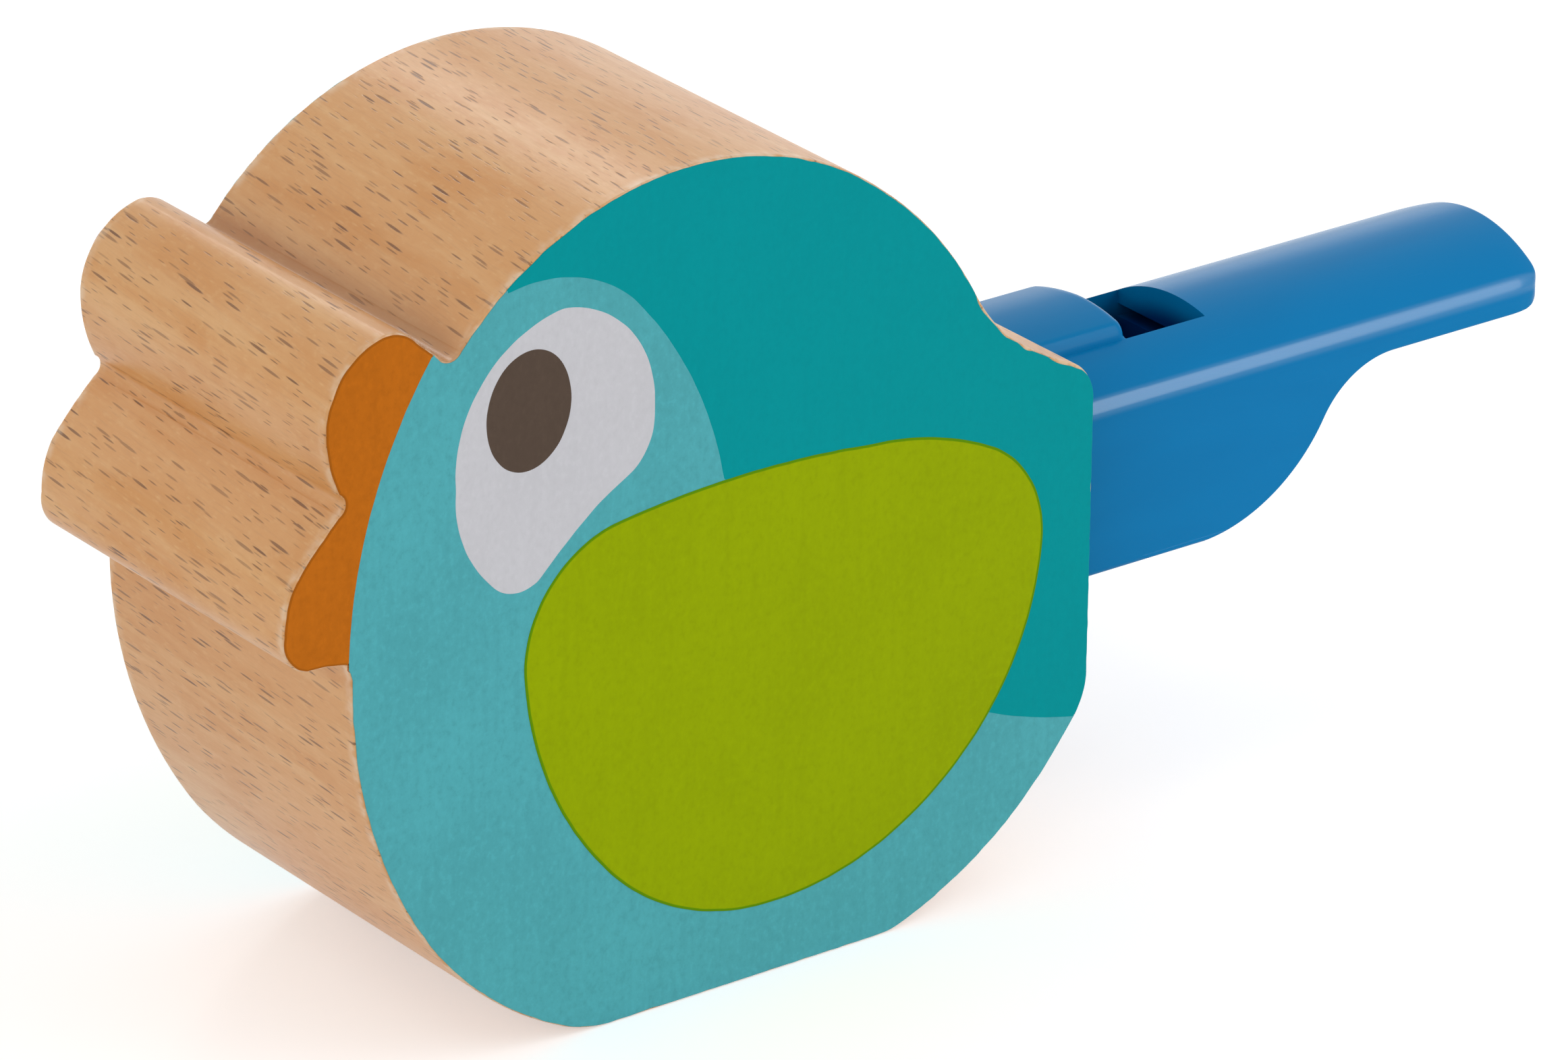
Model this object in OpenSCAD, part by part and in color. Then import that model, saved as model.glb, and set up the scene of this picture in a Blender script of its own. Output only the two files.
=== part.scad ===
// Wooden bird call: a painted beech bird with a plastic slide whistle for a tail.
// X runs from the beak to the tail, Z is up, and Y = 0 is the plane that halves the bird.
// The origin is under the middle of the whole length, on the surface the bird stands on.

/* [Wooden body] */
// Length from the tip of the lower beak to the flat back
body_l = 80.6; // [76:0.2:86]
// Height from the flat bottom to the crown
body_h = 73.2; // [70:0.2:78]
// Thickness over both painted sides
body_t = 35; // [31:0.5:42]
// Thickness of one coat of paint
paint_t = 0.12; // [0.06:0.02:0.2]

/* [Eye] */
// Width of the oval pupil
pupil_w = 8.2; // [6:0.1:9.5]
// Height of the oval pupil
pupil_h = 10.3; // [8:0.1:12]
// Lean of the pupil towards the back, in degrees
pupil_lean = 6; // [0:1:12]

/* [Tail whistle] */
// Length of tail that shows behind the body
tail_show = 56.4; // [50:0.2:62]
// Length of tail held inside the body at rest
hold_l = 44; // [40:0.5:48]
// Width of the tail
tail_w = 19; // [17:0.2:21]
// Height of the tail from its flat underside to its crown
tail_h = 18.6; // [16:0.2:19]
// Height of the tail's underside above the bottom of the bird
tail_z = 22.3; // [20:0.1:23.4]
// Radius of the tail's rounded top
crown_r = 15.4; // [12.6:0.2:20]
// Radius of the long shoulder edges
shoulder_r = 1.5; // [0.6:0.1:2.5]
// Wall thickness of the tail
wall = 1.8; // [1.2:0.1:2.2]
// Thickness of the mouthpiece
mouth_h = 5.9; // [4.8:0.1:6.4]
// Length of the mouthpiece's flat underside
mouth_l = 16.9; // [12:0.1:18]
// Length over which the underside sweeps up to the mouthpiece
sweep_l = 21.7; // [20:0.1:24]
// Radius of the mouthpiece's lower edge
mouth_r = 2; // [1:0.1:3]
// Radius of the mouthpiece's two upright corners
mouth_side_r = 1.4; // [0.6:0.1:2.5]

/* [Window and windway] */
// Distance of the window from the wooden back
window_in = 14.2; // [13.5:0.1:16]
// Length of the window
window_l = 8.6; // [7:0.1:10]
// Width of the rib, the window and the windway
rib_w = 11.7; // [9:0.1:13]
// Height of the rib above the tail's crown
rib_up = 1.6; // [0.8:0.1:2]
// Radius of the rib's rounded top
rib_crown_r = 19; // [14:0.5:30]
// Radius of the rib's long edges
rib_r = 1.3; // [0.4:0.1:1.4]
// Height of the windway
windway_h = 1.2; // [0.8:0.1:1.4]
// Thickness of the plastic under the windway in the mouthpiece
windway_floor = 1.4; // [1:0.1:1.8]

/* [Slide] */
// Travel of the tail into the body
travel_in = 12; // [8:0.5:13]
// Travel of the tail out of the body
travel_out = 15; // [10:0.5:16]
// Gap between the tail and the pocket, and between the rod and the end cap
run_gap = 0.3; // [0.2:0.05:0.4]
// Thickness of the end cap's flange
cap_t = 2; // [1.5:0.1:3]
// Length of the end cap's plug inside the tail
cap_plug = 3; // [2:0.5:4]

/* [Piston] */
// Diameter of the piston rod
rod_d = 5; // [4:0.5:6]
// Depth of the rod's glued end in the wood
rod_seat = 9; // [6:0.5:11]
// Thickness of each piston plate
plate_t = 1.5; // [1:0.1:2]
// Gap between a piston plate and the chamber wall
plate_gap = 0.6; // [0.4:0.1:1]
// Thickness of the piston seal
seal_t = 4; // [2:0.5:5]
// Gap between the seal and the chamber wall
seal_gap = 0.15; // [0.1:0.05:0.25]
// Diameter of the screw's shank
screw_d = 2.6; // [2:0.1:3]
// Diameter of the screw's head
screw_head_d = 5.2; // [4.4:0.1:6]
// Height of the screw's head
screw_head_h = 1.8; // [1.2:0.1:2.2]
// Length of the screw in the rod
screw_bite = 6; // [4:0.5:8]

/* [Hidden] */

$fn = 48;
// Turn of one straight piece of an arc, in degrees
arc_step = 2;
// Overrun of every cut past the face that it opens
cut = 1;
// Space left at each end of the tail's travel before it meets its stop
stop_gap = 0.5;
// Thickness of the glue line round the rod and the screw, and inside the end cap
glue_gap = 0.05;
// Smallest inside corner of the moulded tail
corner_r = 0.4;

// Places along X are measured from the wooden back
origin_x = (body_l - tail_show) / 2;
tail_top = tail_z + tail_h;
tail_axis_z = tail_z + tail_h / 2;
window_end = window_in + window_l;
pocket_l = hold_l + travel_in + stop_gap;
cap_x = -hold_l;
piston_x = cap_x + cap_t + cap_plug + travel_out + stop_gap;
seal_x = piston_x + plate_t;
front_plate_x = seal_x + seal_t;
screw_head_x = front_plate_x + plate_t;

// The underside sweeps up in two arcs that meet with one slope
belly_r_share = 0.65;
mouth_z = tail_top - mouth_h;
sweep_rise = mouth_z - tail_z;
sweep_r = (sweep_l * sweep_l + sweep_rise * sweep_rise) / (2 * sweep_rise);
belly_r = belly_r_share * sweep_r;
throat_r = sweep_r - belly_r;
sweep_end = tail_show - mouth_l;
sweep_start = sweep_end - sweep_l;
sweep_turn = asin(sweep_l / sweep_r);

// The rib, the window and the windway lie off the middle: they end where the far wall begins
rib_far_y = tail_w / 2 - wall;
rib_y = rib_far_y - rib_w / 2;
crown_z = tail_top - crown_r;
windway_z = mouth_z + windway_floor;

// Outline of the bird, from the bottom's front end round by the beak and the back.
// Each row: share of the length from the beak, share of the height,
// and how far the edge to the next row bows out, as a share of its own length.
bird_shares = [
    [0.390, 0.000, 0.050], [0.334, 0.014, 0.060], [0.179, 0.150, 0.083], [0.079, 0.512, 0.000],
    [0.073, 0.531, -0.040], [0.027, 0.537, 0.200], [0.000, 0.586, 0.065],
    [0.014, 0.646, 0.020], [0.066, 0.708, -0.300], [0.066, 0.732, 0.050],
    [0.051, 0.798, 0.190], [0.122, 0.902, 0.120], [0.159, 0.884, 0.000],
    [0.185, 0.859, -0.280], [0.210, 0.860, 0.204], [0.725, 0.911, 0.052],
    [0.842, 0.762, -0.040], [0.885, 0.697, -0.030], [0.966, 0.642, 0.150],
    [1.000, 0.593, 0.000], [1.000, 0.246, 0.077], [0.976, 0.186, 0.077],
    [0.766, 0.008, 0.050], [0.728, 0.000, 0.000],
];

// The face ends at the beak along one arc: centre and radius, and the beak's lowest point
face_centre_shares = [0.634, 0.511];
face_r_share = 0.558;
beak_foot_share = 0.512;

// Edge of the darker back, from the crown over the head and down under the wing,
// then round outside the bird. Rows as in the bird's outline.
back_shares = [
    [0.266, 0.913, 0.120], [0.415, 0.869, 0.072], [0.529, 0.624, 0.060],
    [0.640, 0.400, 0.000], [0.872, 0.238, -0.040], [1.050, 0.190, 0.000],
    [1.050, 1.050, 0.000], [0.266, 1.050, 0.000],
];

// White of the eye, from its top round by the front
eye_shares = [
    [0.333, 0.876, -0.200], [0.204, 0.701, -0.110], [0.245, 0.578, -0.200],
    [0.302, 0.568, 0.020], [0.378, 0.641, 0.000], [0.413, 0.663, -0.135],
    [0.441, 0.730, -0.200],
];
pupil_shares = [0.290, 0.769];

// Wing, from its front round by the top
wing_shares = [
    [0.284, 0.462, 0.187], [0.403, 0.609, 0.032], [0.713, 0.613, 0.054],
    [0.868, 0.567, 0.140], [0.936, 0.441, 0.103], [0.821, 0.180, 0.092],
    [0.595, 0.087, 0.115], [0.378, 0.201, 0.083],
];

// One place on the bird's side, from its shares of the length and the height
function on_side(share) = [(share[0] - 1) * body_l, share[1] * body_h];

// Points of an arc from a towards b that bows to the left by a share of its chord
function bow(a, b, share) =
    share == 0 ? [a] :
    let (
        along = b - a,
        half = 2 * atan(2 * abs(share)),
        radius = norm(along) / (2 * sin(half)),
        dir = along / norm(along),
        out = [-dir[1], dir[0]] * sign(share),
        middle = (a + b) / 2,
        steps = max(2, ceil(2 * half / arc_step))
    )
    [for (i = [0 : steps - 1])
        let (turn = half * (2 * i / steps - 1))
        middle + dir * radius * sin(turn) + out * radius * (cos(turn) - cos(half))];

// Closed outline from rows of shares
function side_outline(rows) = [
    for (i = [0 : len(rows) - 1])
        for (p = bow(on_side(rows[i]), on_side(rows[(i + 1) % len(rows)]), rows[i][2])) p
];

// Points of an arc round a centre, from one angle to another
function arc(centre, radius, from, to) =
    let (steps = max(2, ceil(abs(to - from) / arc_step)))
    [for (i = [0 : steps])
        let (turn = from + (to - from) * i / steps)
        centre + radius * [cos(turn), sin(turn)]];

// Section of the tail, grown all round by a length: X is across and Y is up
function tail_section(grow) =
    let (
        half_w = tail_w / 2 + grow,
        top_r = crown_r + grow,
        edge_r = max(shoulder_r + grow, corner_r),
        edge_x = half_w - edge_r,
        edge_z = crown_z + sqrt(pow(top_r - edge_r, 2) - edge_x * edge_x),
        lean = asin(edge_x / (top_r - edge_r)),
        foot_r = max(corner_r + grow, corner_r),
        foot_z = tail_z - grow + foot_r,
        foot_x = half_w - foot_r
    )
    concat(
        arc([edge_x, edge_z], edge_r, 0, 90 - lean),
        arc([0, crown_z], top_r, 90 - lean, 90 + lean),
        arc([-edge_x, edge_z], edge_r, 90 + lean, 180),
        arc([-foot_x, foot_z], foot_r, 180, 270),
        arc([foot_x, foot_z], foot_r, 270, 360)
    );

// Section of the rib on the tail's crown, grown in the same way: its foot lies in the tail's wall
function rib_section(grow) =
    let (
        half_w = rib_w / 2 + grow,
        edge_r = rib_r + grow,
        top_r = rib_crown_r + grow,
        centre_z = tail_top + rib_up - rib_crown_r,
        foot_z = crown_z + sqrt(crown_r * crown_r - rib_far_y * rib_far_y) - wall / 2,
        edge_x = half_w - edge_r,
        edge_z = centre_z + sqrt(pow(top_r - edge_r, 2) - edge_x * edge_x),
        lean = asin(edge_x / (top_r - edge_r))
    )
    concat(
        [[rib_y - half_w, foot_z], [rib_y + half_w, foot_z]],
        arc([rib_y + edge_x, edge_z], edge_r, 0, 90 - lean),
        arc([rib_y, centre_z], top_r, 90 - lean, 90 + lean),
        arc([rib_y - edge_x, edge_z], edge_r, 90 + lean, 180)
    );

// Underside of the tail seen from the side, raised into the plastic by a depth
function sweep_points(depth) = concat(
    arc([sweep_start, tail_z + belly_r], belly_r - depth, 270, 270 + sweep_turn),
    arc([sweep_end, mouth_z - throat_r], throat_r + depth, 90 + sweep_turn, 90)
);

// Plan of the tail from a place to the mouthpiece's rounded corners
function mouth_plan(from) =
    let (corner_x = tail_show - mouth_side_r, corner_y = tail_w / 2 - mouth_side_r)
    concat(
        [[from, tail_w / 2 + cut], [from, -tail_w / 2 - cut], [corner_x, -tail_w / 2 - cut]],
        arc([corner_x, -corner_y], mouth_side_r, 270, 360),
        arc([corner_x, corner_y], mouth_side_r, 0, 90),
        [[corner_x, tail_w / 2 + cut]]
    );

// Places a side view, drawn in X and Z, as a slab that is centred on Y = 0
module slab(thickness) {
    rotate([90, 0, 0]) linear_extrude(thickness, center = true) children();
}

// Runs a section, drawn in Y and Z, along X
module run(from, to) {
    translate([from, 0, 0]) rotate([90, 0, 90]) linear_extrude(to - from) children();
}

// Round bar along X on the tail's axis
module bar(from, to, d) {
    translate([from, 0, tail_axis_z]) rotate([0, 90, 0]) cylinder(h = to - from, d = d);
}

// One coat of paint on each side of the bird
module both_sides() {
    for (side = [-1, 1])
        translate([0, side * (body_t - paint_t) / 2, 0]) slab(paint_t) children();
}

// Side view of the beak: what lies in front of the face's arc, above the beak's foot
module beak_field() {
    difference() {
        polygon(side_outline(bird_shares));
        translate(on_side(face_centre_shares)) circle(r = face_r_share * body_l, $fn = 180);
        translate([-body_l - cut, -cut])
            square([body_l + 2 * cut, beak_foot_share * body_h + cut]);
        polygon(side_outline(back_shares));
    }
}

module pupil_oval() {
    translate(on_side(pupil_shares)) rotate(-pupil_lean)
        polygon([for (turn = [0 : arc_step : 360 - arc_step])
            [pupil_w * cos(turn), pupil_h * sin(turn)] / 2]);
}

// Beech block, profiled along the grain, with the tail's pocket cut into its back
module wooden_body() {
    color("burlywood") translate([origin_x, 0, 0]) difference() {
        slab(body_t - 2 * paint_t) polygon(side_outline(bird_shares));
        run(-pocket_l, cut) polygon(tail_section(run_gap));
        run(-pocket_l, cut) polygon(rib_section(run_gap));
        bar(-pocket_l - rod_seat, -pocket_l + cut, rod_d + 2 * glue_gap);
    }
}

// Light blue over the face, the breast and the belly
module breast_coat() {
    color("cadetblue") translate([origin_x, 0, 0]) both_sides() difference() {
        polygon(side_outline(bird_shares));
        beak_field();
        polygon(side_outline(back_shares));
        polygon(side_outline(wing_shares));
        polygon(side_outline(eye_shares));
    }
}

// Darker green-blue over the crown and the back
module back_coat() {
    color("darkcyan") translate([origin_x, 0, 0]) both_sides() difference() {
        intersection() {
            polygon(side_outline(bird_shares));
            polygon(side_outline(back_shares));
        }
        polygon(side_outline(wing_shares));
    }
}

// Orange over both lobes of the beak
module beak_coat() {
    color("chocolate") translate([origin_x, 0, 0]) both_sides() beak_field();
}

// White of the eye
module eye_coat() {
    color("lightgray") translate([origin_x, 0, 0]) both_sides() difference() {
        polygon(side_outline(eye_shares));
        pupil_oval();
    }
}

module pupil_coat() {
    color("dimgray") translate([origin_x, 0, 0]) both_sides() pupil_oval();
}

module wing_coat() {
    color("yellowgreen") translate([origin_x, 0, 0]) both_sides()
        polygon(side_outline(wing_shares));
}

// Dowel glued into the floor of the pocket, which holds the piston still in the tail
module piston_rod() {
    color("wheat") translate([origin_x, 0, 0]) difference() {
        bar(-pocket_l - rod_seat, piston_x, rod_d);
        bar(piston_x - screw_bite, piston_x + cut, screw_d + 2 * glue_gap);
    }
}

// Plate that backs or faces the piston's seal
module piston_plate(from) {
    color("ivory") translate([origin_x, 0, 0]) difference() {
        run(from, from + plate_t) polygon(tail_section(-wall - plate_gap));
        bar(from - cut, from + plate_t + cut, screw_d + 2 * glue_gap);
    }
}

module piston_back_plate() {
    piston_plate(piston_x);
}

module piston_front_plate() {
    piston_plate(front_plate_x);
}

// Soft pad between the two plates, which closes the chamber
module piston_seal() {
    color("gray") translate([origin_x, 0, 0]) difference() {
        run(seal_x, front_plate_x) polygon(tail_section(-wall - seal_gap));
        bar(seal_x - cut, front_plate_x + cut, screw_d + 2 * glue_gap);
    }
}

// Screw that clamps the plates and the seal to the end of the rod
module piston_screw() {
    color("silver") translate([origin_x, 0, 0]) {
        bar(piston_x - screw_bite, screw_head_x, screw_d);
        bar(screw_head_x, screw_head_x + screw_head_h, screw_head_d);
    }
}

// One moulding: chamber, window, rib and mouthpiece, open at its inner end
module tail_shell() {
    shell_x = cap_x + cap_t;
    color("dodgerblue") translate([origin_x, 0, 0]) difference() {
        union() {
            intersection() {
                run(shell_x, tail_show) polygon(tail_section(0));
                slab(tail_w + cut) polygon(concat(
                    [[shell_x - cut, tail_z]],
                    sweep_points(0),
                    arc([tail_show - mouth_r, mouth_z + mouth_r], mouth_r, 270, 360),
                    [[tail_show, tail_top + cut], [shell_x - cut, tail_top + cut]]
                ));
                translate([0, 0, tail_z - cut]) linear_extrude(tail_h + 2 * cut)
                    polygon(mouth_plan(shell_x - cut));
            }
            run(shell_x, window_in) polygon(rib_section(0));
        }
        intersection() {
            run(shell_x - cut, tail_show) polygon(tail_section(-wall));
            slab(tail_w) polygon(chamber_outline());
        }
        translate([window_end, rib_y - rib_w / 2, windway_z])
            cube([tail_show - window_end + cut, rib_w, windway_h]);
        translate([window_in, rib_y - rib_w / 2, windway_z])
            cube([window_l, rib_w, tail_h]);
    }
}

// Side view of the hollow: it ends bluntly between the sweep and the windway's floor
function chamber_outline() =
    let (
        floor_points = [for (p = sweep_points(wall)) if (p[1] < windway_z - windway_h) p],
        end_x = floor_points[len(floor_points) - 1][0]
    )
    concat(
        [[cap_x - cut, tail_z + wall]],
        floor_points,
        [[end_x, windway_z], [window_end, windway_z]],
        [[window_end, tail_top], [cap_x - cut, tail_top]]
    );

// Moulded insert behind the window: it closes the chamber and floors the windway
module windway_plug() {
    color("navy") translate([origin_x, 0, 0]) intersection() {
        run(window_end, tail_show) polygon(tail_section(-wall));
        slab(tail_w) polygon(chamber_outline());
    }
}

// Cap glued into the inner end: it slides on the rod and keeps the tail from coming off
module tail_end_cap() {
    color("dodgerblue") translate([origin_x, 0, 0]) difference() {
        union() {
            run(cap_x, cap_x + cap_t) polygon(tail_section(0));
            run(cap_x, cap_x + cap_t + cap_plug) polygon(tail_section(-wall - glue_gap));
        }
        bar(cap_x - cut, cap_x + cap_t + cap_plug + cut, rod_d + 2 * run_gap);
    }
}

wooden_body();
breast_coat();
back_coat();
beak_coat();
eye_coat();
pupil_coat();
wing_coat();
piston_rod();
piston_back_plate();
piston_seal();
piston_front_plate();
piston_screw();
tail_shell();
windway_plug();
tail_end_cap();
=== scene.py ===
import math

import bmesh
import bpy
from mathutils import Matrix, Vector, noise
from mathutils.kdtree import KDTree


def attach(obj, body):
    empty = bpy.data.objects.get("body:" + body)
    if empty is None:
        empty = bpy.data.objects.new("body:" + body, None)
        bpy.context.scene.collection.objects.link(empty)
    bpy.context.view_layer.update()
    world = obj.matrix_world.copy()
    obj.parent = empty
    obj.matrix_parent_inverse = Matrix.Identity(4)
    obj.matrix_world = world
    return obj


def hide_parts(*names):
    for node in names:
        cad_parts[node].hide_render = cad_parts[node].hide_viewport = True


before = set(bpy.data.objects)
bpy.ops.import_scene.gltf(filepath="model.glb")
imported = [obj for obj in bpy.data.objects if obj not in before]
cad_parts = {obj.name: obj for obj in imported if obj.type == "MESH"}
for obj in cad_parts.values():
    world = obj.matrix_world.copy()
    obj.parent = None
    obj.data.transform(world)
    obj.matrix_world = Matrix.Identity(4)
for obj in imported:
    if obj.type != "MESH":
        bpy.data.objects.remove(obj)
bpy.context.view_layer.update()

# Camera: a long lens in front of the beak and above it, as the photograph was taken.
# The places are those of the camera fitted to the bird's outline, in millimetres.
MM = 0.001
SENSOR_W = 36
LENS = 218.6
CAMERA_AT = (-443.95 * MM, -576.82 * MM, 351.81 * MM)
ELEVATION = math.radians(23.983)
AZIMUTH = math.radians(-37.168)
ROLL = math.radians(0.645)
NEAREST = 10 * MM

scene = bpy.context.scene
scene.view_settings.view_transform = "Standard"
camera_data = bpy.data.cameras.new("camera")
camera_data.sensor_width = SENSOR_W
camera_data.lens = LENS
camera_data.clip_start = NEAREST
camera = bpy.data.objects.new("camera", camera_data)
scene.collection.objects.link(camera)
camera.matrix_world = (
    Matrix.Translation(CAMERA_AT)
    @ Matrix.Rotation(AZIMUTH, 4, "Z")
    @ Matrix.Rotation(math.pi / 2 - ELEVATION, 4, "X")
    @ Matrix.Rotation(ROLL, 4, "Z")
)
scene.camera = camera

# Table, room and light: the bird stands on a white table, and the room is the world, white
# where the camera or a gloss sees it. Six soft lamps: a long one on the right for the light
# line along the tail, a broad low one on the left, a faint one above and three behind.
WHITE = (1, 1, 1, 1)
TABLE_WHITE = (0.86, 0.86, 0.86, 1)
TABLE_HALF = 900 * MM
TABLE_GLOW = 0.42
ROOM_LIGHT = 0.45
LAMPS_AIM = (0, 0, 30 * MM)


class Value:
    """A number or colour that a node of one finish gives: arithmetic on it adds Math nodes."""

    def __init__(self, finish, socket):
        self.finish, self.socket = finish, socket

    def output(self, name):
        """Another output of the same node."""
        return Value(self.finish, self.socket.node.outputs[name])

    def maths(self, operation, *values):
        return self.finish.node(
            "ShaderNodeMath", {"operation": operation}, dict(enumerate(values))
        )

    def __add__(self, other):
        return self.maths("ADD", self, other)

    def __sub__(self, other):
        return self.maths("SUBTRACT", self, other)

    def __rsub__(self, other):
        return self.maths("SUBTRACT", other, self)

    def __mul__(self, other):
        return self.maths("MULTIPLY", self, other)

    def __truediv__(self, other):
        return self.maths("DIVIDE", self, other)

    def __abs__(self):
        return self.maths("ABSOLUTE", self)

    __radd__, __rmul__ = __add__, __mul__

    def or_more(self, other):
        """The larger of two values."""
        return self.maths("MAXIMUM", self, other)

    def step(self, low, high):
        """0 below low and 1 above high, with a smooth change between; low may be the larger."""
        return self.finish.node(
            "ShaderNodeMapRange",
            {"interpolation_type": "SMOOTHSTEP"},
            {"Value": self, "From Min": low, "From Max": high},
        )


class Finish:
    """The nodes of one material, or of the world."""

    def __init__(self, owner):
        owner.use_nodes = True
        self.owner, self.tree = owner, owner.node_tree
        self.shader = next(
            n for n in self.tree.nodes if n.type in ("BSDF_PRINCIPLED", "BACKGROUND")
        )

    def join(self, socket, value):
        if isinstance(value, Value):
            self.tree.links.new(value.socket, socket)
        else:
            socket.default_value = value

    def node(self, kind, settings=None, sockets=None, out=0):
        """One node: its settings first, then the values or links of its sockets."""
        made = self.tree.nodes.new(kind)
        for name, value in (settings or {}).items():
            setattr(made, name, value)
        for name, value in (sockets or {}).items():
            self.join(made.inputs[name], value)
        return Value(self, made.outputs[out])

    def set(self, **sockets):
        """Values or links of the shader's own sockets, an underscore for a space."""
        for name, value in sockets.items():
            self.join(self.shader.inputs[name.replace("_", " ")], value)

    def mix(self, share, first, second):
        """Colour from first to second by a share."""
        return self.node(
            "ShaderNodeMix", {"data_type": "RGBA"}, {0: share, 6: first, 7: second}, out=2
        )

    def looked_at(self):
        """1 where the camera, a gloss or a clear piece looks, and 0 where light is sent on."""
        path = self.node("ShaderNodeLightPath")
        seen = path.output("Is Camera Ray")
        for way in ("Is Glossy Ray", "Is Transmission Ray"):
            seen = seen.or_more(path.output(way))
        return seen


table_finish = Finish(bpy.data.materials.new("table_white"))
table_finish.set(
    Base_Color=TABLE_WHITE,
    Roughness=0.9,
    Specular_IOR_Level=0.0,
    Emission_Color=WHITE,
)

# Where it is looked at the table glows a little, so that it reads white and keeps the shadow.
plain = Value(table_finish, table_finish.shader.outputs[0])
glow = table_finish.node("ShaderNodeEmission", None, {"Color": WHITE, "Strength": TABLE_GLOW})
glowing = table_finish.node("ShaderNodeAddShader", None, {0: plain, 1: glow})
table_look = table_finish.node(
    "ShaderNodeMixShader", None, {0: table_finish.looked_at(), 1: plain, 2: glowing}
)
table_out = next(n for n in table_finish.tree.nodes if n.type == "OUTPUT_MATERIAL")
table_finish.join(table_out.inputs["Surface"], table_look)

table_mesh = bpy.data.meshes.new("table_top")
shaping = bmesh.new()
bmesh.ops.create_grid(shaping, x_segments=1, y_segments=1, size=TABLE_HALF)
shaping.to_mesh(table_mesh)
shaping.free()
table = bpy.data.objects.new("table_top", table_mesh)
table_mesh.materials.append(table_finish.owner)
scene.collection.objects.link(table)

scene.world = bpy.data.worlds.new("studio")
room = Finish(scene.world)
room.set(Color=WHITE, Strength=ROOM_LIGHT + room.looked_at() * (1 - ROOM_LIGHT))


def lamp(name, place, size, power, turn=0):
    """A soft lamp with a rectangular front that faces the bird, turned on itself in degrees."""
    light = bpy.data.lights.new(name, "AREA")
    light.shape = "RECTANGLE"
    light.size, light.size_y = size
    light.energy = power
    holder = bpy.data.objects.new(name, light)
    scene.collection.objects.link(holder)
    away = Vector(place) - Vector(LAMPS_AIM)
    holder.matrix_world = (
        Matrix.Translation(place)
        @ away.to_track_quat("Z", "Y").to_matrix().to_4x4()
        @ Matrix.Rotation(math.radians(turn), 4, "Z")
    )


lamp("right_lamp", place=(0.57, -0.63, 0.51), size=(0.34, 1.2), power=4.1, turn=-24)
lamp("left_lamp", place=(-0.90, -0.55, 0.30), size=(0.8, 0.8), power=3.8)
lamp("top_lamp", place=(-0.35, 0.20, 0.95), size=(0.6, 0.6), power=1.0)
lamp("back_lamp", place=(0.85, 0.98, 0.25), size=(0.9, 0.36), power=0.45)
lamp("far_lamp", place=(-0.15, 1.15, 0.25), size=(0.7, 0.4), power=2.4)
lamp("crown_lamp", place=(0.31, 0.73, 0.66), size=(0.2, 0.2), power=0.7)

# Wooden body: one block of beech, its profile milled across the grain and sanded.
# Its edges are broken by hand, paler where they are worn, and the pocket for the tail
# is cut into its back. The grain runs through the bird from side to side. Painted shade
# darkens the notch above the beak.
BODY_HALF = 17.38 * MM
EDGE_BREAK = 0.2 * MM
WORN_REACH = 1.3 * MM
SIDE_SLACK = 0.05 * MM
RIM_STEP = 0.1 * MM
LOOSE = 0.002 * MM
FLAT = math.radians(0.6)
FACING = 0.99
CREASE = math.radians(5)
# Painted shade: the beech is darkened round the notch between the crown and the beak, where the
# real groove lies in shade.
NOTCH_AT = (-54.9 * MM, 0, 63.0 * MM)
NOTCH_SHADE = (5.4 * MM, 1.0 * MM)
GRAIN_LEAN = (0.062, 0, -0.046)
BEECH = (0.665, 0.335, 0.120, 1)
BEECH_HONEY = (0.600, 0.255, 0.060, 1)
BEECH_PALE = (0.760, 0.465, 0.210, 1)
BEECH_WORN = (0.80, 0.61, 0.42, 1)
# Dark beech, for the fibres and for the painted shade in the notch.
BEECH_SHADE = (0.36, 0.165, 0.068, 1)
PORE_BROWN = (0.13, 0.040, 0.004, 1)


def merged(node):
    """A copy of a CAD node with its loose triangles joined and its flat faces made whole."""
    shape = bmesh.new()
    shape.from_mesh(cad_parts[node].data)
    bmesh.ops.remove_doubles(shape, verts=shape.verts, dist=LOOSE)
    bmesh.ops.dissolve_limit(shape, angle_limit=FLAT, verts=shape.verts, edges=shape.edges)
    return shape


def piece(name, shape, finish, body, node, smooth=35):
    """Makes a bmesh the piece that stands for a CAD node.

    Faces that turn by less than smooth degrees are shaded as one; smooth=0 keeps all flat.
    """
    shape.normal_update()
    shape.verts.index_update()
    for edge in shape.edges:
        edge.smooth = edge.calc_face_angle(0) < math.radians(smooth)
    for face in shape.faces:
        face.smooth = smooth > 0
    corners = [
        v.index for v in shape.verts if any(e.calc_face_angle(0) > CREASE for e in v.link_edges)
    ]
    mesh = bpy.data.meshes.new(name)
    shape.to_mesh(mesh)
    shape.free()
    made = bpy.data.objects.new(name, mesh)
    mesh.materials.append(finish.owner)
    scene.collection.objects.link(made)
    if smooth:
        made.vertex_groups.new(name="corners").add(corners, 1, "REPLACE")
        weighing = made.modifiers.new("flat_faces_lead", "WEIGHTED_NORMAL")
        weighing.keep_sharp = True
        weighing.vertex_group = "corners"
    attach(made, body)
    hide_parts(node)


def place_on(finish):
    """Where a point of the surface lies on the bird."""
    return finish.node("ShaderNodeTexCoord").output("Object")


def reach_from(finish, middle, axes):
    """How far a point of the surface lies from a middle, measured along some axes only."""
    kept = finish.node(
        "ShaderNodeVectorMath", {"operation": "MULTIPLY"}, {0: place_on(finish), 1: axes}
    )
    return finish.node(
        "ShaderNodeVectorMath", {"operation": "DISTANCE"}, {0: kept, 1: middle}, out=1
    )


def cells(finish, x, y, z, lean=(0, 0, 0)):
    """Object coordinates in cells of so many millimetres each way, turned by a lean."""
    return finish.node(
        "ShaderNodeMapping",
        {"vector_type": "TEXTURE"},
        {"Vector": place_on(finish), "Rotation": lean, "Scale": (x * MM, y * MM, z * MM)},
    )


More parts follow.
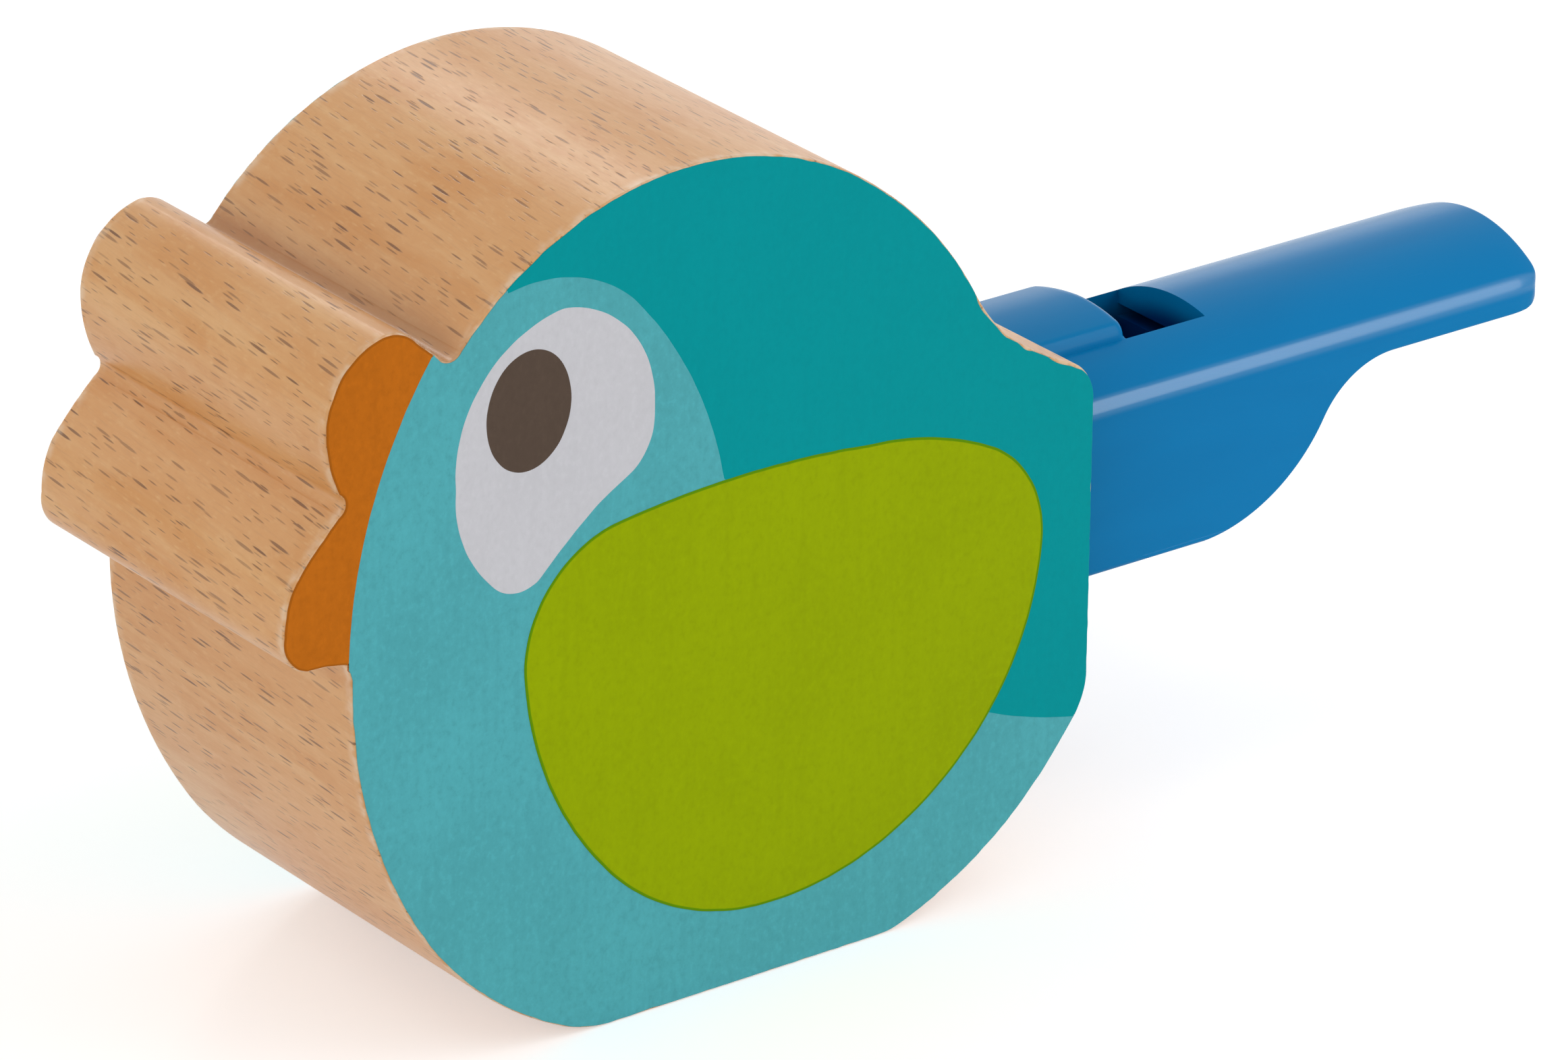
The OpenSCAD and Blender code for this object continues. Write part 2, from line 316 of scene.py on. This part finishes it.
def clouds(finish, place, detail=2, roughness=0.5, distortion=0):
    """Soft noise from 0 to 1, one cloud for each cell of a place."""
    return finish.node(
        "ShaderNodeTexNoise",
        {"noise_dimensions": "3D"},
        {
            "Vector": place,
            "Scale": 1,
            "Detail": detail,
            "Roughness": roughness,
            "Distortion": distortion,
        },
    )


def flecks(finish, place, reach, soft=0.5):
    """One fleck in each cell of a place, 0.6 to 1.3 of a reach wide and 0.6 to 1 strong."""
    seeds = finish.node(
        "ShaderNodeTexVoronoi",
        {"voronoi_dimensions": "3D", "feature": "F1"},
        {"Vector": place, "Scale": 1, "Randomness": 1},
    )
    own = finish.node("ShaderNodeSeparateColor", None, {0: seeds.output("Color")})
    inside = (seeds / (own * (0.7 * reach) + 0.6 * reach)).step(1, soft)
    return inside * (own.output("Green") * 0.4 + 0.6)


def relief(finish, height, depth, strength):
    """Fine relief of so many millimetres, for the shader's Normal."""
    return finish.node(
        "ShaderNodeBump",
        None,
        {"Strength": strength, "Distance": depth * MM, "Height": height},
    )


def beech(name):
    """Sanded beech with the grain along Y: brown pores, pale rays and honey patches, and painted
    shade in the notch above the beak.
    """
    finish = Finish(bpy.data.materials.new(name))
    patches = clouds(finish, cells(finish, 5, 15, 5, GRAIN_LEAN), 3, 0.55, 0.5)
    bands = clouds(finish, cells(finish, 1.6, 30, 1.6, GRAIN_LEAN), 2, 0.55)
    mottle = clouds(finish, cells(finish, 0.6, 1.3, 0.6, GRAIN_LEAN), 2, 0.65)
    fibres = clouds(finish, cells(finish, 0.16, 3.2, 0.16, GRAIN_LEAN), 2, 0.6)
    clusters = clouds(finish, cells(finish, 5, 9, 5, GRAIN_LEAN), 1)
    wear = clouds(finish, cells(finish, 1.5, 1.5, 1.5), 2, 0.6)
    rays = flecks(finish, cells(finish, 0.5, 2.4, 0.5, GRAIN_LEAN), 0.22, 0.2)
    long_pores = flecks(finish, cells(finish, 0.5, 5.6, 0.5, GRAIN_LEAN), 0.25, 0.62)
    short_pores = flecks(finish, cells(finish, 0.34, 4.0, 0.34, GRAIN_LEAN), 0.23, 0.6)
    pores = long_pores.or_more(short_pores * 0.75) * (clusters.step(0.25, 0.6) * 0.35 + 0.65)
    # Painted shade in the notch above the beak, darkest at its middle.
    groove_shade = reach_from(finish, NOTCH_AT, (1, 0, 1)).step(*NOTCH_SHADE)
    aside = abs(finish.node("ShaderNodeSeparateXYZ", None, {0: place_on(finish)}).output("Y"))
    worn = aside.step(BODY_HALF - WORN_REACH, BODY_HALF) * wear.step(0.35, 0.7)

    colour = finish.mix(patches.step(0.40, 0.66) * 0.65, BEECH, BEECH_HONEY)
    for share, tint in (
        (bands.step(0.48, 0.72) * 0.4, BEECH_PALE),
        (mottle.step(0.5, 0.8) * 0.3, BEECH_PALE),
        (mottle.step(0.45, 0.2) * 0.25, BEECH_HONEY),
        (rays * 0.4, BEECH_PALE),
        (groove_shade * 0.75, BEECH_SHADE),
        (fibres.step(0.45, 0.85) * 0.22, BEECH_SHADE),
        (pores * 0.9, PORE_BROWN),
        (worn * 0.7, BEECH_WORN),
    ):
        colour = finish.mix(share, colour, tint)
    finish.set(
        Base_Color=colour,
        Roughness=0.27 + fibres * 0.14,
        Specular_IOR_Level=0.5,
        Normal=relief(finish, fibres * 0.25 + mottle * 0.3 - pores, depth=0.04, strength=0.5),
    )
    return finish


def flat_side(shape, side, beyond):
    """The faces of one painted side, at +Y or -Y, that lie further out than a given half."""
    return [
        f
        for f in shape.faces
        if f.normal.y * side > FACING and f.calc_center_median().y * side > beyond
    ]


def soften_rim(shape, faces, width, even=True):
    """Rounds the rim of one flat side: two narrow rings, each sunk a little further."""
    step = width * (1 - math.cos(math.pi / 4))
    for inset, drop in ((step, width), (width - step, step)):
        ring = bmesh.ops.inset_region(
            shape, faces=faces, thickness=inset, use_even_offset=even, use_boundary=True
        )["faces"]
        kept = {v for f in faces for v in f.verts}
        for vert in {v for f in ring for v in f.verts} - kept:
            vert.co.y -= math.copysign(drop, vert.co.y)


def along(edge, step):
    """Places along an edge, a step or less apart."""
    parts = int(edge.calc_length() / step) + 1
    return [edge.verts[0].co.lerp(edge.verts[1].co, i / parts) for i in range(parts)]


block = merged("wooden_body")
rim_edges = [
    e
    for e in block.edges
    if len(e.link_faces) == 2
    and e.verts[0].co.y * e.verts[1].co.y > 0
    and min(abs(v.co.y) for v in e.verts) > BODY_HALF - SIDE_SLACK
    and any(abs(f.normal.y) < FACING for f in e.link_faces)
]
rim_places = [place for e in rim_edges for place in along(e, RIM_STEP)]
outline = KDTree(len(rim_places))
for number, place in enumerate(rim_places):
    outline.insert((place.x, 0, place.z), number)
outline.balance()
for side in (-1, 1):
    soften_rim(block, flat_side(block, side, BODY_HALF - SIDE_SLACK), EDGE_BREAK)
piece("beech_block", block, beech("sanded_beech"), "bird", "wooden_body")

# Painted coats: satin paint printed on the two sanded end-grain sides, one colour at a
# time: orange beak, light blue breast, dark back, white eye, brown pupil, green wing.
# Each lies a little under the next, thick at its edge, and is chipped at the bird's rim.
COAT_FOOT = 17.37 * MM
BORDER_STEP = 0.35 * MM
LAP = 0.1
LAP_WAVER = 0.03 * MM
LAP_WAVES = 700
ROUNDING = 0.05 * MM
TOP_SLACK = 0.01 * MM
SHARP_TURN = math.radians(18)
IRONING = (0.5, -0.505) * 60
RIM_NEAR = 0.12 * MM
RIM_BARE = 0.12 * MM
RIM_WAVER = 0.05 * MM
RIM_WAVES = 900
CHIP_WAVES = 420
CHIP_FROM = 0.12
CHIP_DEEP = 0.12 * MM
SLOPE_DEEPER = 0.5 * MM
SLOPE_START = -22 * MM
SLOPE_RUN = 20 * MM
SLOPE_FOOT = 40 * MM
SATIN = 0.5
BREAST_BLUE = (0.084, 0.392, 0.436, 1)
BACK_TEAL = (0.0006, 0.288, 0.314, 1)
BEAK_ORANGE = (0.503, 0.138, 0.008, 1)
BEAK_LINE = (0.36, 0.10, 0.006, 1)
EYE_WHITE = (0.588, 0.582, 0.615, 1)
PUPIL_BROWN = (0.087, 0.060, 0.045, 1)
WING_GREEN = (0.292, 0.381, 0.0005, 1)
WING_LINE = (0.075, 0.235, 0.001, 1)


def chip(place):
    """How far the paint stops short of the bird's rim at a place: more on the back slope."""
    worn = noise.noise(Vector((place.x, 0, place.z)) * RIM_WAVES)
    broken = noise.noise(Vector((place.x + 1, place.y, place.z)) * CHIP_WAVES)
    slope = max(0, min(1, (place.x - SLOPE_START) / SLOPE_RUN)) * (place.z > SLOPE_FOOT)
    deep = CHIP_DEEP + SLOPE_DEEPER * slope
    return RIM_BARE + RIM_WAVER * worn + deep * max(0, broken - CHIP_FROM)


def turn_at(vert):
    """How sharply the border of a flat face turns at a vertex."""
    ends = [e.other_vert(vert).co - vert.co for e in vert.link_edges if e.is_boundary]
    return math.pi - ends[0].angle(ends[1])


def ironed(border, held):
    """Irons small corners out of an outline: each pull inwards is followed by a push outwards."""
    beside = {
        v: [e.other_vert(v) for e in v.link_edges if e.is_boundary]
        for v in border
        if v not in held
    }
    for share in IRONING:
        middles = [(v, (a.co + b.co) / 2) for v, (a, b) in beside.items()]
        for vert, middle in middles:
            vert.co = vert.co.lerp(middle, share)


def outward(vert):
    """Which way the border of a flat face leaves it at a vertex."""
    way = Vector((0, 0, 0))
    for edge in vert.link_edges:
        if edge.is_boundary:
            loop = edge.link_loops[0]
            ahead = loop.link_loop_next.vert.co - loop.vert.co
            way += ahead.cross(loop.face.normal).normalized()
    return way.normalized()


def painted_border(shape, lap):
    """Leaves only the border of a coat, and gives each vertex with its move to the paint's end."""
    painted = flat_side(shape, -1, 0) + flat_side(shape, 1, 0)
    under = [f for f in shape.faces if f not in painted]
    bmesh.ops.delete(shape, geom=under, context="FACES")
    for edge in [e for e in shape.edges if e.is_boundary]:
        cuts = int(edge.calc_length() / BORDER_STEP)
        if cuts:
            bmesh.ops.bisect_edges(shape, edges=[edge], cuts=cuts)
    border = [v for v in shape.verts if v.is_boundary]
    at_rim = {v for v in border if outline.find((v.co.x, 0, v.co.z))[2] < RIM_NEAR}
    ironed(border, at_rim | {v for v in border if turn_at(v) > SHARP_TURN})
    moves = []
    for vert in border:
        waver = LAP_WAVER * noise.noise(vert.co * LAP_WAVES)
        moves.append((vert, outward(vert) * (-chip(vert.co) if vert in at_rim else lap + waver)))
    crossing = [e for e in shape.edges if not e.is_boundary]
    bmesh.ops.delete(shape, geom=shape.faces[:], context="FACES_ONLY")
    bmesh.ops.delete(shape, geom=crossing, context="EDGES")
    return moves


def coat_shape(node, top, lap, line):
    """One coat on both sides of the bird, its border moved to where the paint ends.

    A line keeps a ring of that width along the border, marked in the attribute "rim".
    """
    shape = merged(node)
    rim = shape.verts.layers.float.new("rim")
    for vert, move in painted_border(shape, lap):
        vert.co += move
        vert.co.y = math.copysign(top, vert.co.y)
        vert[rim] = 1
    # On each side the ring of the line comes first, where there is one, and then the field.
    for side in (-1, 1):
        for width in (line, 0):
            border = [
                e
                for e in shape.edges
                if e.verts[0].co.y * side > 0
                and len(e.link_faces) < 2
                and (e.is_wire or e.verts[0][rim] + e.verts[1][rim] == 0)
            ]
            if not border:
                continue
            filled = bmesh.ops.triangle_fill(
                shape, use_beauty=True, edges=border, normal=(0, side, 0)
            )
            faces = [f for f in filled["geom"] if isinstance(f, bmesh.types.BMFace)]
            if width:
                bmesh.ops.inset_region(
                    shape, faces=faces, thickness=width, use_even_offset=False, use_boundary=True
                )
                for vert in shape.verts:
                    if vert.co.y * side > 0 and not vert.is_boundary:
                        vert[rim] = 0
                bmesh.ops.delete(shape, geom=faces, context="FACES")
    made = bmesh.ops.extrude_face_region(shape, geom=shape.faces[:], use_keep_orig=True)
    for vert in [v for v in made["geom"] if isinstance(v, bmesh.types.BMVert)]:
        vert.co.y = math.copysign(COAT_FOOT, vert.co.y)
    bmesh.ops.recalc_face_normals(shape, faces=shape.faces)
    for side in (-1, 1):
        soften_rim(shape, flat_side(shape, side, top - TOP_SLACK), ROUNDING, False)
    return shape


def shade(colour, share):
    """A colour made darker or lighter by a share."""
    return tuple(min(1, part * share) for part in colour[:3]) + (1,)


def paint(name, colour, line_colour, streak):
    """Printed satin paint: streaks up and down from the brush, a faint mottle, fine grain."""
    finish = Finish(bpy.data.materials.new(name))
    streaks = clouds(finish, cells(finish, 0.9, 60, 13), 3, 0.55)
    drifts = clouds(finish, cells(finish, 13, 60, 13), 3, 0.5)
    mottle = clouds(finish, cells(finish, 0.55, 0.55, 0.7), 3, 0.65)
    grain = clouds(finish, cells(finish, 0.22, 0.22, 0.3), 2, 0.7)
    coat = finish.mix(
        drifts.step(0.3, 0.7), shade(colour, 1 - 0.7 * streak), shade(colour, 1 + 0.7 * streak)
    )
    for share, streaks_lighter in (
        (streaks.step(0.5, 0.75) * 0.45, 1.6),
        (streaks.step(0.5, 0.25) * 0.45, -1.6),
        (mottle.step(0.5, 0.7) * 0.7, 2),
        (mottle.step(0.5, 0.3) * 0.7, -2),
        (grain.step(0.55, 0.8) * 0.5, -1.8),
    ):
        coat = finish.mix(share, coat, shade(colour, 1 + streaks_lighter * streak))
    if line_colour:
        rim = finish.node("ShaderNodeAttribute", {"attribute_name": "rim"}, out=2)
        coat = finish.mix(rim.step(0.15, 0.5) * 0.85, coat, line_colour)
    finish.set(
        Base_Color=coat,
        Roughness=SATIN + grain * 0.12,
        Specular_IOR_Level=0.12,
        Specular_Tint=shade(colour, 1 / max(colour[:3])),
        Normal=relief(finish, grain * 0.6 + streaks, depth=0.03, strength=0.35),
    )
    return finish


# For each coat, in millimetres: how far out its top lies, its lap and the line at its edge.
for node, name, slot, (top, lap, line), colour, line_colour, streak in (
    ("beak_coat", "orange_beak", "orange_paint",
     (17.44, LAP, 0.22), BEAK_ORANGE, BEAK_LINE, 0.05),
    ("breast_coat", "light_blue_breast", "light_blue_paint",
     (17.45, LAP, 0), BREAST_BLUE, None, 0.06),
    ("back_coat", "teal_back", "teal_paint",
     (17.46, LAP, 0), BACK_TEAL, None, 0.02),
    ("eye_coat", "white_of_eye", "white_paint",
     (17.47, LAP, 0), EYE_WHITE, None, 0.025),
    ("pupil_coat", "brown_pupil", "brown_paint",
     (17.485, 0, 0), PUPIL_BROWN, None, 0.04),
    ("wing_coat", "green_wing", "green_paint",
     (17.5, 0, 0.32), WING_GREEN, WING_LINE, 0.045),
):
    coat = coat_shape(node, top * MM, lap * MM, line * MM)
    finish = paint(slot + "_satin", colour, line_colour, streak)
    piece(name, coat, finish, "bird", node, smooth=0)

# Tail whistle: one glossy blue moulding with the rib, the window and the mouthpiece, a plug
# moulded to fit behind the window, and a cap glued into its inner end. The mould rounds the
# rib's end, the lip and the edges a little, and the long shoulders are polished by the fingers.
BLUE = (0.0004, 0.196, 0.472, 1)
BLUE_DEEP = (0.0003, 0.172, 0.424, 1)
# Painted shade for the inside of the tube.
INSIDE_PAINTED_SHADE = (0.0, 0.03, 0.15, 1)
MOULD_EDGE = 0.22 * MM
MOULD_TURN = math.radians(35)
BACK_AT = 12.1 * MM
SIDE_AT = 9.3 * MM
MOUTH_END = 68.5 * MM
MOUTH_ROUND = 1.6 * MM
MOUTH_FOOT = 35.5 * MM
CROWN_AXIS_Z = 25.5 * MM
CROWN_R = 15.4 * MM
CROWN_HALF = 8.9 * MM
RIB_END = 26.3 * MM
RIB_HALF = 5.85 * MM
RIB_HEART = (1.85 * MM, 38.0 * MM)
RIB_ROUND = 0.7 * MM
RIB_FAR_MORE = 1.3
RIB_FOOT = 0.4 * MM
RIB_CUTS = (0.03, 0.12, 0.25, 0.4, 0.6, 0.85, 1.2, 1.6)
TOUCHING = 0.01 * MM
LIP_R = 3.5 * MM
LIP_LIFT = 0.25
LIP_PINCH = 0.08
LIP_CUTS = (0.35, 0.8, 1.3, 1.9, 2.6, 3.5)
LONG_CUTS = (-29, 24, 37, 65.8)

# Soft borders of the painted shade inside the tube and of the polished shoulders, each from none to
# full.
INSIDE_R = (14.7 * MM, 12.4 * MM)
INSIDE_HALF = (8.2 * MM, 8.0 * MM)
INSIDE_FLOOR = (24.2 * MM, 24.6 * MM)
INSIDE_END = (38.0 * MM, 37.0 * MM)
SHOULDER_HALF = (8.5 * MM, 8.9 * MM)
SHOULDER_FOOT = (36.5 * MM, 37.2 * MM)


def blue_plastic(name):
    """Glossy moulded plastic with a faint flow and fine rubbed scratches, and painted shade inside
    the tube.

    The long shoulders on either side of the crown carry a clear polish.
    """
    finish = Finish(bpy.data.materials.new(name))
    flow = clouds(finish, cells(finish, 26, 7, 7), 3, 0.5, 0.4)
    rubbed = clouds(finish, cells(finish, 9, 0.12, 0.12), 2, 0.6)
    peel = clouds(finish, cells(finish, 1.4, 1.4, 1.4), 2, 0.5)
    spot = finish.node("ShaderNodeSeparateXYZ", None, {0: place_on(finish)})
    aside, height = abs(spot.output("Y")), spot.output("Z")
    # Painted shade: the inside of the tube under the window is darkened, where the real tube lies
    # in shade.
    inside = (
        reach_from(finish, (0, 0, CROWN_AXIS_Z), (0, 1, 1)).step(*INSIDE_R)
        * aside.step(*INSIDE_HALF)
        * height.step(*INSIDE_FLOOR)
        * spot.output("X").step(*INSIDE_END)
    )
    polished = aside.step(*SHOULDER_HALF) * height.step(*SHOULDER_FOOT)
    colour = finish.mix(flow.step(0.4, 0.65) * 0.35, BLUE, BLUE_DEEP)
    finish.set(
        Base_Color=finish.mix(inside, colour, INSIDE_PAINTED_SHADE),
        Roughness=0.19 + rubbed.step(0.6, 0.85) * 0.1 + flow * 0.04,
        Specular_IOR_Level=0.08,
        Coat_Weight=polished * 0.9,
        Coat_Roughness=0.2,
        Normal=relief(finish, peel + rubbed * 0.12, depth=0.02, strength=0.2),
    )
    return finish


def to_round(edge):
    """Whether the mould rounds an edge of the tail a little: the mouth's end, the sweep's sides."""
    place = (edge.verts[0].co + edge.verts[1].co) / 2
    sweep_side = abs(place.y) > SIDE_AT and place.z < MOUTH_FOOT and place.x > BACK_AT
    mouth_end = place.x > MOUTH_END - MOUTH_ROUND
    return edge.calc_face_angle(0) > MOULD_TURN and edge.is_convex and (sweep_side or mouth_end)


def rounded(shape, edges, width):
    """Rounds edges of a moulding; it is worked in millimetres, where the operator is exact."""
    bmesh.ops.scale(shape, vec=(1 / MM, 1 / MM, 1 / MM), verts=shape.verts)
    bmesh.ops.bevel(
        shape,
        geom=edges,
        offset=width / MM,
        segments=3,
        profile=0.5,
        affect="EDGES",
        material=-1,
    )
    bmesh.ops.scale(shape, vec=(MM, MM, MM), verts=shape.verts)


def cut_across(shape, places):
    """Cuts a moulding's faces across its length, so that they can curve or shade evenly."""
    for place in places:
        bmesh.ops.bisect_plane(
            shape,
            geom=shape.verts[:] + shape.edges[:] + shape.faces[:],
            plane_co=(place, 0, 0),
            plane_no=(1, 0, 0),
        )


def round_rib_end(shape):
    """Rounds the end of the rib by pulling it in towards its heart, most at the far corner."""
    cut_across(shape, [RIB_END - back * MM for back in RIB_CUTS])
    for vert in shape.verts:
        back = max(0, RIB_END - vert.co.x)
        proud = math.hypot(vert.co.y, vert.co.z - CROWN_AXIS_Z) - CROWN_R
        far = max(0, (vert.co.y - RIB_HEART[0]) / RIB_HALF)
        radius = RIB_ROUND * (1 + RIB_FAR_MORE * far)
        if vert.co.x < RIB_END + TOUCHING and proud > TOUCHING and back < radius:
            pull = radius - math.sqrt(radius**2 - (radius - back) ** 2)
            heart = Vector((vert.co.x, *RIB_HEART))
            vert.co += (heart - vert.co).normalized() * pull * min(1, proud / RIB_FOOT)


def soften_lip(shape):
    """Curves the sides and the underside of the mouthpiece in towards its lip."""
    cut_across(shape, [MOUTH_END - back * MM for back in LIP_CUTS])
    for vert in shape.verts:
        back = max(0, MOUTH_END - vert.co.x)
        if back < LIP_R:
            share = 1 - math.sqrt(1 - (1 - back / LIP_R) ** 2)
            top = CROWN_AXIS_Z + math.sqrt(CROWN_R**2 - min(abs(vert.co.y), CROWN_HALF) ** 2)
            vert.co.z += max(0, top - vert.co.z) * LIP_LIFT * share
            vert.co.y *= 1 - LIP_PINCH * share


tail_blue = blue_plastic("glossy_blue_moulding")
shell = merged("tail_shell")
rounded(shell, [e for e in shell.edges if to_round(e)], MOULD_EDGE)
round_rib_end(shell)
soften_lip(shell)
cut_across(shell, [place * MM for place in LONG_CUTS])
piece("whistle_tail", shell, tail_blue, "tail", "tail_shell")

for node in ("windway_plug", "tail_end_cap"):
    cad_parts[node].material_slots[0].material = tail_blue.owner

# Piston: a turned beech dowel glued into the pocket, two uncoloured moulded plates
# with a soft silicone pad between them, and the zinc-plated screw that clamps them.
DOWEL_BEECH = (0.64, 0.43, 0.25, 1)
PLATE_CREAM = (0.75, 0.72, 0.62, 1)
PAD_GREY = (0.19, 0.19, 0.185, 1)
ZINC_DARK = (0.42, 0.43, 0.45, 1)
ZINC_LIGHT = (0.52, 0.53, 0.54, 1)


def moulded(name, colour, rough, size, strength):
    """Plain moulded plastic or rubber with a fine grain of a given size."""
    finish = Finish(bpy.data.materials.new(name))
    grain = clouds(finish, cells(finish, size, size, size), 3, 0.6)
    finish.set(
        Base_Color=finish.mix(grain.step(0.3, 0.7), shade(colour, 0.94), shade(colour, 1.04)),
        Roughness=rough + grain * 0.1,
        Normal=relief(finish, grain, depth=0.03, strength=strength),
    )
    return finish


def dowel(name):
    """Turned beech with its grain along X."""
    finish = Finish(bpy.data.materials.new(name))
    bands = clouds(finish, cells(finish, 30, 0.8, 0.8), 3, 0.6)
    pores = flecks(finish, cells(finish, 6, 0.5, 0.5), 0.2)
    colour = finish.mix(bands.step(0.4, 0.7), DOWEL_BEECH, BEECH_PALE)
    finish.set(
        Base_Color=finish.mix(pores * 0.7, colour, PORE_BROWN),
        Roughness=0.55 + bands * 0.1,
    )
    return finish


def plated(name):
    """Zinc plating: grey metal with faint turning marks round X."""
    finish = Finish(bpy.data.materials.new(name))
    marks = clouds(finish, cells(finish, 0.08, 2, 2), 2, 0.6)
    finish.set(
        Base_Color=finish.mix(marks, ZINC_DARK, ZINC_LIGHT),
        Metallic=1.0,
        Roughness=0.28 + marks * 0.14,
    )
    return finish


plate_finish = moulded("uncoloured_plastic", PLATE_CREAM, rough=0.4, size=0.6, strength=0.15)
for node, finish in (
    ("piston_rod", dowel("turned_dowel")),
    ("piston_back_plate", plate_finish),
    ("piston_front_plate", plate_finish),
    ("piston_seal", moulded("silicone_pad", PAD_GREY, rough=0.6, size=0.25, strength=0.4)),
    ("piston_screw", plated("zinc_plate")),
):
    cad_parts[node].material_slots[0].material = finish.owner
